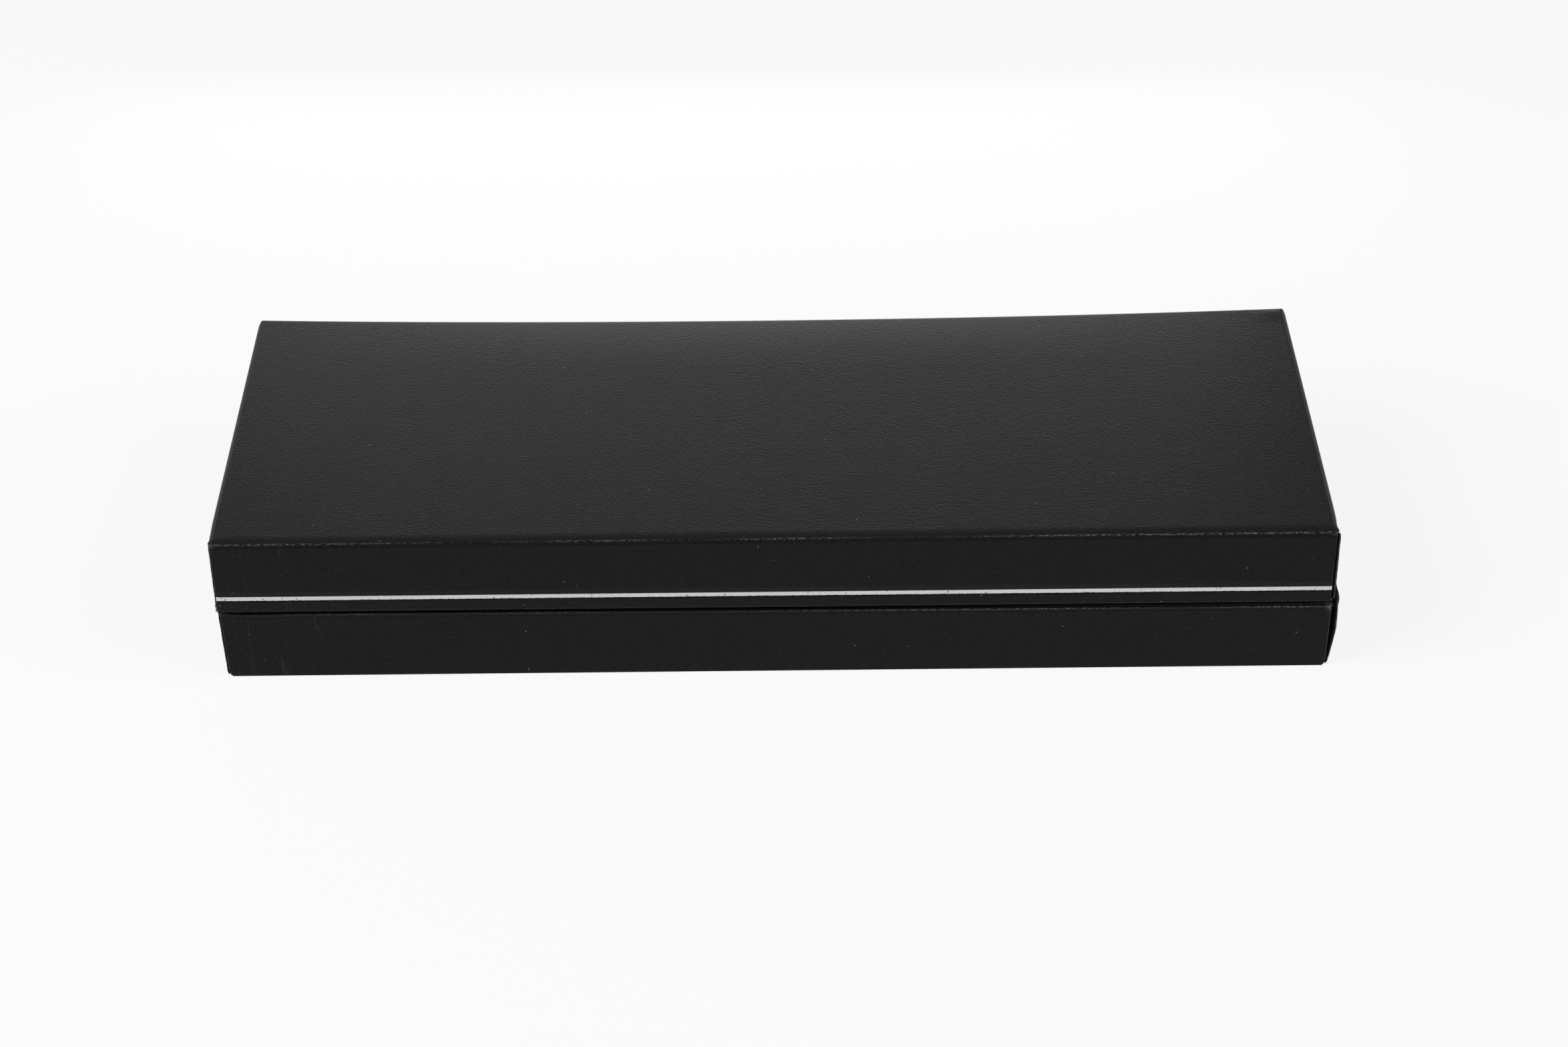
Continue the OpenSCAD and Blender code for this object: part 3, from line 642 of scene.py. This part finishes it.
add(flock, "OutputMaterial", {"Surface": skin.outputs[0]})
flocked_bed.data.materials.append(flock)
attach(flocked_bed, "base")
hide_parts("pen_bed")


# Lid covering: one sheet of the same leatherette, drawn over the lid's front, top and back.
# It is turned in over the rim, doubled to a bead along the front edge, and soft over the back edge.
lid_rim, lid_top = 12.95, 26.0
line_low, line_high, line_deep = 15.12, 15.97, 0.1
bead_drop, soft_from, soft_run, soft_power = 0.26, 14, 18, 2.5


def lid_top_at(x, y):
    """The sheet stands proud of the shell, more to the right, slopes off to the ends, and is lumpy at one corner."""
    behind = np.clip((y + shell_y - 0.5) / 2, 0, 1)
    past = np.abs(x) - wrap_x + 0.45
    shoulder = (past + np.hypot(past, 0.15)) * behind
    lump = near(x, 86.5, 2.2) * np.clip((y - 29) / 4, 0, 1)
    return lid_top + 0.2 + 0.002 * x - 0.3 * shoulder + 0.22 * lump


def lid_profile(x):
    """From the turned-in front edge over the rim, up the panel, along the top and down to the slot's lip."""
    rim, top = lid_rim - 0.02, lid_top_at(x, -shell_y)
    crest = top - bead_drop
    front, back, fold, sunk = -shell_y, shell_y, 0.3, lid_rim + 0.4
    slack = 1 - (x / wrap_x) ** 2
    back_r, fall, drawn_in = 0.9 + 1.0 * slack, 0.58 * slack, 0.3 * slack
    tilt = math.degrees(math.atan(soft_power * fall / soft_run))
    end_y = back - drawn_in - back_r + back_r * math.sin(math.radians(tilt))
    end_z = top - fall * ((end_y - soft_from) / soft_run) ** soft_power
    turn_z = end_z - back_r * math.cos(math.radians(tilt))
    lip = hinge_z + slot_half
    groove = front + line_deep
    profile = (line((-inner_y, lid_rim + turned_in), (-inner_y, sunk + fold), 5)
               + arc((-inner_y - fold, sunk + fold), fold, 0, -90, 5)
               + line((-inner_y - fold, sunk), (front + 0.6, sunk), 6)
               + line((front + 0.6, sunk), (front + 0.4, rim + 0.08), 3)
               + line((front + 0.4, rim + 0.08), (front + 0.12, rim), 3)
               + arc((front + 0.12, rim + 0.12), 0.12, 270, 180, 6)
               + line((front, rim + 0.12), (front, line_low - 0.03), 6)
               + [(front, line_low - 0.03), (groove, line_low - 0.01), (groove, line_high + 0.01)]
               + line((front, line_high + 0.03), (front, lid_top - 2), 8)
               + line((front, lid_top - 2), (front, crest - 0.56), 6)
               + [(front, crest - 0.56), (front + 0.02, crest - 0.46), (front + 0.1, crest - 0.38)]
               + [(front + 0.13, crest - 0.3), (front + 0.1, crest - 0.21)]
               + arc((front + 0.16, crest - 0.1), 0.1, 210, 97, 8)
               + line((front + 0.18, top), (front + 3, top), 26)
               + line((front + 3, top), (soft_from, top), 24)
               + line((soft_from, top), (end_y, top), 26)
               + arc((back - drawn_in - back_r, turn_z), back_r, 90 - tilt, 0, 16)
               + line((back - drawn_in, turn_z), (back, lip + fold), 10)
               + arc((back - fold, lip + fold), fold, 0, -90, 6)
               + line((back - fold, lip), (slot_y + 0.05, lip), 4)
               + [(slot_y + 0.05, lip)])
    profile = np.array(profile)
    upper = profile[:, 1] > top - 0.001
    y = profile[:, 0]
    rolled = bead_drop * np.clip((front + 2.4 - y) / 2.2, 0, 1) ** 2
    softened = fall * np.clip((y - soft_from) / soft_run, 0, 1.2) ** soft_power
    wave = 0.02 * np.sin(x / 17 + 1.7 * math.sin(x / 41)) * np.sin((y + shell_y) / (2 * shell_y) * math.pi) ** 2
    profile[:, 1] -= np.where(upper, rolled + softened + wave + top - lid_top_at(x, y), 0)
    return profile


def lid_half(y, z):
    """Half the length of the lid's panels, nipped in just behind the bead and rounded at the back corners."""
    behind = np.clip((y + shell_y - 0.25) / 0.7, 0, 1)
    half = wrap_x + (end_x - wrap_x) * behind - 0.2 * near(y, -shell_y + 2.6, 2.0) * (z > lid_top - 0.3)
    half = half - 0.35 * np.clip((y - shell_y + 1.8) / 1.8, 0, 1) ** 2
    return np.where((np.abs(y) < slot_y) & (z < 18), inner_x, half)


def lid_end_profile():
    """One end, from the turned-in edge over the rim and up the wall."""
    fold = 0.3
    top = wrap_x - 0.04
    return (line((inner_x, lid_rim + turned_in), (inner_x, lid_rim + fold), 5)
            + arc((inner_x + fold, lid_rim + fold), fold, 180, 270, 5)
            + line((inner_x + fold, lid_rim), (top - fold, lid_rim), 6)
            + arc((top - fold, lid_rim + fold), fold, -90, 0, 6)
            + line((top, lid_rim + fold), (top, lid_top - 1.0), 14)
            + [(top, lid_top - 1.0)])


lid_strip = upright(lid_profile, lid_half, end_r=0.3, front=-shell_y, back=shell_y,
                    top_at=lid_top_at, bottom=-no_limit)
ends = [end_flap(lid_end_profile(), s, -shell_y + 0.35, shell_y - 0.35, lambda z: z < hinge_z + slot_half + 0.1)
        for s in (-1, 1)]
x, y, z = (lid_strip[..., i] for i in range(3))
crests = lid_top_at(x, -shell_y) - bead_drop
bead = near(y, -shell_y + 0.34, 0.16) * (z > crests - 0.05) * in_places(x)
bead *= 0.85 + 0.2 * np.clip(x / 60, -0.5, 1)
rim_rub = near(z, lid_rim, 0.15) * (y < -shell_y + 0.6) * 0.15
end_rub = near(np.abs(x), end_x - 0.2, 0.4) * (z > lid_top - 1.2) * 0.2
rub = [np.maximum(np.maximum(bead, rim_rub), end_rub), *[0 * e[..., 0] for e in ends]]
scuffs = [near(s[..., 0], -84, 14) * (s[..., 1] < -shell_y + 0.1) for s in (lid_strip, *ends)]
lid_covering = grid_object("lid_covering", [lid_strip, *ends], {"wear": rub, "scuff": scuffs})
# The front panel takes the darker copy of the leatherette: painted shade.
shade_front_panel(lid_covering)
glued(lid_covering, sheet_t, "lid", "leatherette", "lid_wrap")


# Lid end covers: the same cut sheets, glued on over the lid's folds.
# They stop short of the slot at the back, and the right one stands off a little at the front edge.
def lid_left(y, z):
    """Pressed on along the front edge."""
    return 0.43 - 0.3 * along_front(y, 2.0)


def lid_right(y, z):
    """Standing off along the front edge, more so towards the rim."""
    return 0.43 + along_front(y, 2.0) * (0.04 + 0.08 * (lid_top - z) / 13)


def lid_cover_top(y):
    """The cut edge, below the top, and higher at the front corner."""
    return lid_top - 1.0 + 0.7 * along_front(y, 0.9)


for side, name, stand_off in ((-1, "lid_end_cover_left", lid_left), (1, "lid_end_cover_right", lid_right)):
    cover = end_cover(name + "_sheet", side, lid_rim + 0.3, lid_cover_top, lambda z: wrap_x, lambda z: 0,
                      hinge_z + slot_half + 0.3, stand_off)
    glued(cover, sheet_t, "lid", "leatherette", name)


# Silver line: aluminium foil, hot-stamped into the leatherette along the whole front of the lid.
# The stamp leaves pinholes where the grain was deep, and its lower edge is a little ragged.
foil_face = -shell_y + line_deep - 0.08
foil_xs = np.linspace(-wrap_x + 0.1, wrap_x - 0.1, 720)
ragged = 0.045 * np.sin(foil_xs * 5.1 + 2 * np.sin(foil_xs * 1.7)) * np.sin(foil_xs * 2.3 + 1)
ragged += 0.02 * np.sin(foil_xs * 9.7)
rows = [np.stack([foil_xs, np.full(foil_xs.shape, foil_face + (0.05 if s in (0, 1) else 0)),
                  line_low + 0.02 + ragged * (1 - s) + (line_high - line_low - 0.04) * s], 1)
        for s in (0, 0.06, 0.3, 0.55, 0.8, 0.95, 1)]
silver_line = grid_object("silver_line", [rows])
thicken(silver_line, 0.05)

# Hot-stamping foil: vacuum-coated aluminium, bright but broken up by the grain under it.
foil = started("hot-stamped aluminium foil")
place = add(foil, "TexCoord").outputs["Object"]
crinkle = add(foil, "TexNoise", {"Vector": place, "Scale": 1 / (0.5 * mm), "Detail": 3.0}).outputs[0]
cells = add(foil, "TexVoronoi", {"Vector": place, "Scale": 1 / (0.6 * mm)})
lot = add(foil, "SeparateColor", {"Color": cells.outputs["Color"]}).outputs[0]
size = add(foil, "MapRange", {"Value": lot, "From Min": 0.6, "To Max": 0.22}).outputs[0]
hole = add(foil, "Math", {0: cells.outputs["Distance"], 1: size}, operation="LESS_THAN").outputs[0]
shade = add(foil, "Mix", {
    "Factor": crinkle, 6: linear("#bebec0"), 7: linear("#dcdcde")}, data_type="RGBA").outputs[2]
tint = add(foil, "Mix", {"Factor": hole, 6: shade, 7: linear("#1a191a")}, data_type="RGBA")
metal = add(foil, "Math", {0: 1.0, 1: hole}, operation="SUBTRACT")
press = add(foil, "Bump", {"Height": crinkle, "Strength": 0.6, "Distance": 0.03 * mm})
skin = add(foil, "BsdfPrincipled", {
    "Base Color": tint.outputs[2], "Metallic": metal.outputs[0], "Roughness": 0.42, "Normal": press.outputs[0]})
add(foil, "OutputMaterial", {"Surface": skin.outputs[0]})
silver_line.data.materials.append(foil)
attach(silver_line, "lid")
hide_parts("foil_stripe")


# Liner card: grey board behind the lid's pad, glued under the ceiling.
# Grey board: recycled fibre with darker flecks, about 1 mm apart.
grey_board = started("recycled grey board")
place = add(grey_board, "TexCoord").outputs["Object"]
pulp = add(grey_board, "TexNoise", {"Vector": place, "Scale": 1 / (1.1 * mm), "Detail": 4.0}).outputs[0]
tint = add(grey_board, "Mix", {"Factor": pulp, 6: linear("#6f6c66"), 7: linear("#9a968e")}, data_type="RGBA")
skin = add(grey_board, "BsdfPrincipled", {"Base Color": tint.outputs[2], "Roughness": 0.9})
add(grey_board, "OutputMaterial", {"Surface": skin.outputs[0]})
dress(grey_board, "lid_liner_board")


# Lid pad: ivory acetate satin drawn over a thin slab of foam and glued behind the liner card.
# The foam pushes it out evenly, and it puckers a little along the edges where it is turned over.
pad_low, pad_high = (np.array(c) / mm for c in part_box("lid_pad_satin"))
pad_mid, pad_half = (pad_low + pad_high)[:2] / 2, (pad_high - pad_low)[:2] / 2 - 0.25
board_face, pad_corner, pad_side, enlarged = pad_high[2], 3.0, 2.0, 10


def pad_sheet(across, along, rise):
    """The satin from edge to edge: round corners in plan, a steep side and a low crown."""
    rows = []
    for v in along:
        gap = max(pad_corner - (1 - abs(v)) * pad_half[1], 0)
        trim = pad_corner - math.sqrt(pad_corner ** 2 - gap ** 2)
        row = []
        for u in across:
            edge = min((1 - abs(u)) * (pad_half[0] - trim), (1 - abs(v)) * pad_half[1])
            side = 1 - (1 - min(edge / pad_side, 1)) ** 2.5
            row.append((pad_mid[0] + u * (pad_half[0] - trim), pad_mid[1] + v * pad_half[1],
                        board_face - rise * side * (0.78 + 0.22 * (1 - u ** 4) * (1 - v ** 4))))
        rows.append(row)
    return np.array(rows)


def spread(count):
    """Shares from -1 to 1, closer together towards the edges."""
    return np.sin(np.linspace(-math.pi / 2, math.pi / 2, count)) * 0.35 + np.linspace(-1, 1, count) * 0.65


def pushed_out(rows, cap):
    """The satin as the foam pushes it: cloth with its edge held, simulated at ten times the size and capped."""
    n, k = rows.shape[:2]
    cloth = grid_object("satin on the foam", [rows * enlarged], away_from=(0, 0, 200 * enlarged))
    ids = np.arange(n * k).reshape(n, k)
    edge = np.unique(np.concatenate([ids[0], ids[-1], ids[:, 0], ids[:, -1]]))
    cloth.vertex_groups.new(name="turned over the card").add(edge.tolist(), 1.0, "REPLACE")
    drawn = cloth.modifiers.new("satin", "CLOTH")
    drawn.settings.vertex_group_mass = "turned over the card"
    drawn.settings.use_pressure = True
    drawn.settings.uniform_pressure_force = 4.0
    drawn.settings.shrink_min = -0.008
    drawn.settings.effector_weights.gravity = 0.0
    last = 20
    drawn.point_cache.frame_end = last
    for moment in range(1, last + 1):
        bpy.context.scene.frame_set(moment)
    settled = np.empty(n * k * 3)
    cloth.evaluated_get(bpy.context.evaluated_depsgraph_get()).data.vertices.foreach_get("co", settled)
    bpy.context.scene.frame_set(1)
    sheet = cloth.data
    bpy.data.objects.remove(cloth)
    bpy.data.meshes.remove(sheet)
    moved = settled.reshape(n, k, 3) / (enlarged * mm) - rows
    length = np.linalg.norm(moved, axis=-1, keepdims=True)
    return rows + moved * np.minimum(1, cap / np.maximum(length, 1e-9))


pad_rise = board_face - pad_low[2] - 0.75
satin_rows = pad_sheet(spread(120), spread(48), pad_rise)
satin_rows = pushed_out(satin_rows, 0.6)
lid_pad = grid_object("lid_pad_satin_cover", [satin_rows], away_from=(0, 0, 200))
drape = lid_pad.modifiers.new("soft satin", "SUBSURF")
drape.levels = drape.render_levels = 1

# Acetate satin: long floats along the length, 0.2 mm apart, give a soft sheen across them.
satin = started("ivory acetate satin")
place = add(satin, "TexCoord").outputs["Object"]
# The floats are drawn 0.35 mm apart, coarser than the real thread, to show at all.
floated = add(satin, "Mapping", {"Vector": place, "Scale": (1 / (4 * mm), 1 / (0.35 * mm), 1 / (0.35 * mm))})
threads = add(satin, "TexNoise", {"Vector": floated.outputs[0], "Scale": 1.0, "Detail": 2.0}).outputs[0]
soft = add(satin, "TexNoise", {"Vector": place, "Scale": 1 / (16 * mm), "Detail": 2.0}).outputs[0]
tint = add(satin, "Mix", {"Factor": soft, 6: linear("#d9d2c1"), 7: linear("#e8e3d5")}, data_type="RGBA")
dull = add(satin, "MapRange", {"Value": threads, "To Min": 0.34, "To Max": 0.5})
weave = add(satin, "Bump", {"Height": threads, "Strength": 0.5, "Distance": 0.02 * mm})
skin = add(satin, "BsdfPrincipled", {
    "Base Color": tint.outputs[2], "Roughness": dull.outputs[0], "Normal": weave.outputs[0],
    "Sheen Weight": 0.3, "Sheen Roughness": 0.35, "Specular IOR Level": 0.4})
add(satin, "OutputMaterial", {"Surface": skin.outputs[0]})
lid_pad.data.materials.append(satin)
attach(lid_pad, "lid")
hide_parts("lid_pad_satin", "lid_pad_foam")


# Stage: a plain white floor under soft studio light, seen from the front and a little above.
# The floor is white to the eye and to reflections, and keeps the box's shadow.
floor_ends = (-9000, 9000)
floor = grid_object("floor", [[[(x, y, 0) for y in floor_ends] for x in floor_ends]], away_from=(0, 0, -1))
paper = started("white paper floor")
grain = add(paper, "TexNoise", {"Vector": add(paper, "TexCoord").outputs["Object"], "Scale": 1 / (2 * mm)}).outputs[0]
tint = add(paper, "Mix", {"Factor": grain, 6: linear("#f2f2f2"), 7: linear("#f6f6f6")}, data_type="RGBA")
lit = add(paper, "BsdfDiffuse", {"Color": tint.outputs[2]})
white = add(paper, "Emission", {"Color": linear("#ffffff"), "Strength": 1.0})
ray = add(paper, "LightPath")
seen = add(paper, "Math", {
    0: ray.outputs["Is Camera Ray"], 1: ray.outputs["Is Glossy Ray"]}, operation="MAXIMUM").outputs[0]
seen = add(paper, "Math", {0: seen, 1: ray.outputs["Is Transmission Ray"]}, operation="MAXIMUM").outputs[0]
share = add(paper, "Math", {0: seen, 1: 0.85}, operation="MULTIPLY").outputs[0]
bright = add(paper, "MixShader", {0: share, 1: lit.outputs[0], 2: white.outputs[0]})
add(paper, "OutputMaterial", {"Surface": bright.outputs[0]})
floor.data.materials.append(paper)

world = bpy.data.worlds.new("studio")
world.use_nodes = True
world.node_tree.nodes.clear()
up = add(world, "SeparateXYZ", {0: add(world, "TexCoord").outputs["Generated"]}).outputs[2]
ceiling = add(world, "MapRange", {"Value": up, "From Min": 0.1, "From Max": 0.47, "To Min": 0.4, "To Max": 0.06},
              interpolation_type="SMOOTHSTEP")
glow = add(world, "Background", {"Color": linear("#ffffff"), "Strength": ceiling.outputs[0]})
add(world, "OutputWorld", {"Surface": glow.outputs[0]})
bpy.context.scene.world = world


def softbox(name, at, towards, width, height, radiance):
    """A soft light panel with an even radiance, hidden from the camera."""
    lamp = bpy.data.lights.new(name, "AREA")
    lamp.shape = "RECTANGLE"
    lamp.size, lamp.size_y = width, height
    lamp.energy = radiance * math.pi * width * height
    panel = bpy.data.objects.new(name, lamp)
    panel.location = at
    panel.rotation_euler = (Vector(towards) - Vector(at)).to_track_quat("-Z", "Y").to_euler()
    panel.visible_camera = False
    bpy.context.scene.collection.objects.link(panel)


softbox("left softbox", (-0.8, -0.35, 0.6), (0, 0, 0), 0.8, 0.8, 4.9)
softbox("right softbox", (0.8, -0.35, 0.6), (0, 0, 0), 0.8, 0.8, 3.0)
softbox("low strip behind", (-0.012, 0.17, 0.055), (-0.012, 0, 0.03), 0.26, 0.07, 1.45)

lens = bpy.data.cameras.new("camera")
lens.sensor_width, lens.lens = 36.0, 75.548
pitch, yaw, roll = (math.radians(a) for a in (35.019, 0.088, -0.529))
tilt = Matrix(((1, 0, 0), (0, math.sin(pitch), math.cos(pitch)), (0, -math.cos(pitch), math.sin(pitch))))
turn = Matrix(((math.cos(yaw), -math.sin(yaw), 0), (math.sin(yaw), math.cos(yaw), 0), (0, 0, 1)))
cant = Matrix(((math.cos(roll), math.sin(roll), 0), (-math.sin(roll), math.cos(roll), 0), (0, 0, 1)))
camera = bpy.data.objects.new("camera", lens)
camera_at = Vector((1.02, -454.81, 324.0)) * mm
camera.matrix_world = Matrix.Translation(camera_at) @ (cant @ tilt @ turn).transposed().to_4x4()
bpy.context.scene.collection.objects.link(camera)
bpy.context.scene.camera = camera
bpy.context.scene.view_settings.view_transform = "Standard"
